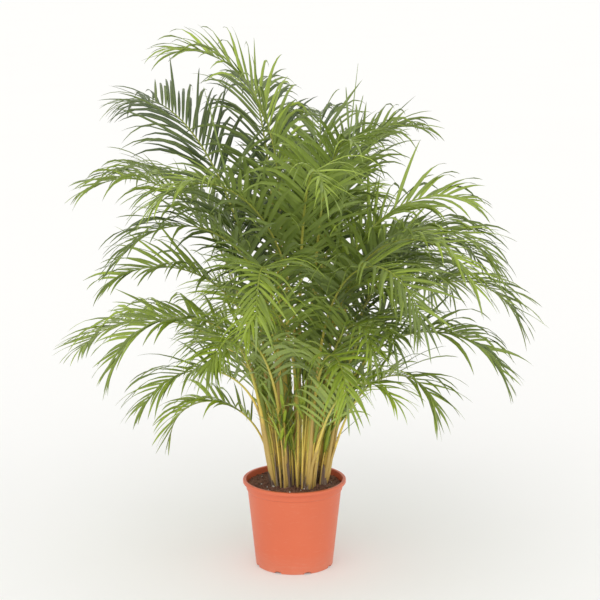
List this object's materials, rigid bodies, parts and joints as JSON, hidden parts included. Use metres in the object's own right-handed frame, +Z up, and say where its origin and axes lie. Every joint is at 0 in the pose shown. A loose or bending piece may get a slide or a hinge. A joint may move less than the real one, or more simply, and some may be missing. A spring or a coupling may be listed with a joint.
{
  "type": "potted areca palm",
  "caption": "Multi-stemmed areca palm with arching feather leaves on slender yellow canes, growing in a round plastic grower's pot.",
  "frame": {"origin": "centre of the pot's flat underside, on the surface it stands on", "axes": "+Z up along the pot's axis; the plant's fullest face looks along -Y"},
  "size_m": [1.1203, 1.1493, 1.2298],
  "materials": {
    "terracotta_plastic": "satin",
    "potting_soil": "matte",
    "cane_sheath": "satin",
    "leaf_blade": "satin",
    "young_leaf": "satin"
  },
  "bodies": {
    "root": {"pot": "terracotta_plastic", "soil": "potting_soil", "cane_01": "cane_sheath", "cane_02": "cane_sheath", "cane_03": "cane_sheath", "cane_04": "cane_sheath", "cane_05": "cane_sheath", "cane_06": "cane_sheath", "cane_07": "cane_sheath", "cane_08": "cane_sheath", "cane_09": "cane_sheath", "cane_10": "cane_sheath", "cane_11": "cane_sheath", "cane_12": "cane_sheath", "cane_13": "cane_sheath", "cane_14": "cane_sheath", "leaf_01": "leaf_blade", "leaf_02": "leaf_blade", "leaf_03": "leaf_blade", "leaf_04": "leaf_blade", "leaf_05": "leaf_blade", "leaf_06": "leaf_blade", "leaf_07": "leaf_blade", "leaf_08": "leaf_blade", "leaf_09": "leaf_blade", "leaf_10": "leaf_blade", "leaf_11": "leaf_blade", "leaf_12": "leaf_blade", "leaf_13": "leaf_blade", "leaf_14": "leaf_blade", "leaf_15": "leaf_blade", "leaf_16": "leaf_blade", "leaf_17": "leaf_blade", "leaf_18": "leaf_blade", "leaf_19": "leaf_blade", "leaf_20": "leaf_blade", "leaf_21": "leaf_blade", "leaf_22": "leaf_blade", "leaf_23": "leaf_blade", "leaf_24": "leaf_blade", "leaf_25": "leaf_blade", "leaf_26": "leaf_blade", "leaf_27": "leaf_blade", "leaf_28": "leaf_blade", "leaf_29": "leaf_blade", "leaf_30": "leaf_blade", "leaf_31": "leaf_blade", "leaf_32": "leaf_blade", "leaf_33": "leaf_blade", "leaf_34": "leaf_blade", "leaf_35": "leaf_blade", "leaf_36": "leaf_blade", "leaf_37": "leaf_blade", "leaf_38": "leaf_blade", "leaf_39": "leaf_blade", "leaf_40": "leaf_blade", "spear_1": "young_leaf", "spear_2": "young_leaf", "spear_3": "young_leaf", "spear_4": "young_leaf"}
  },
  "joints": []
}
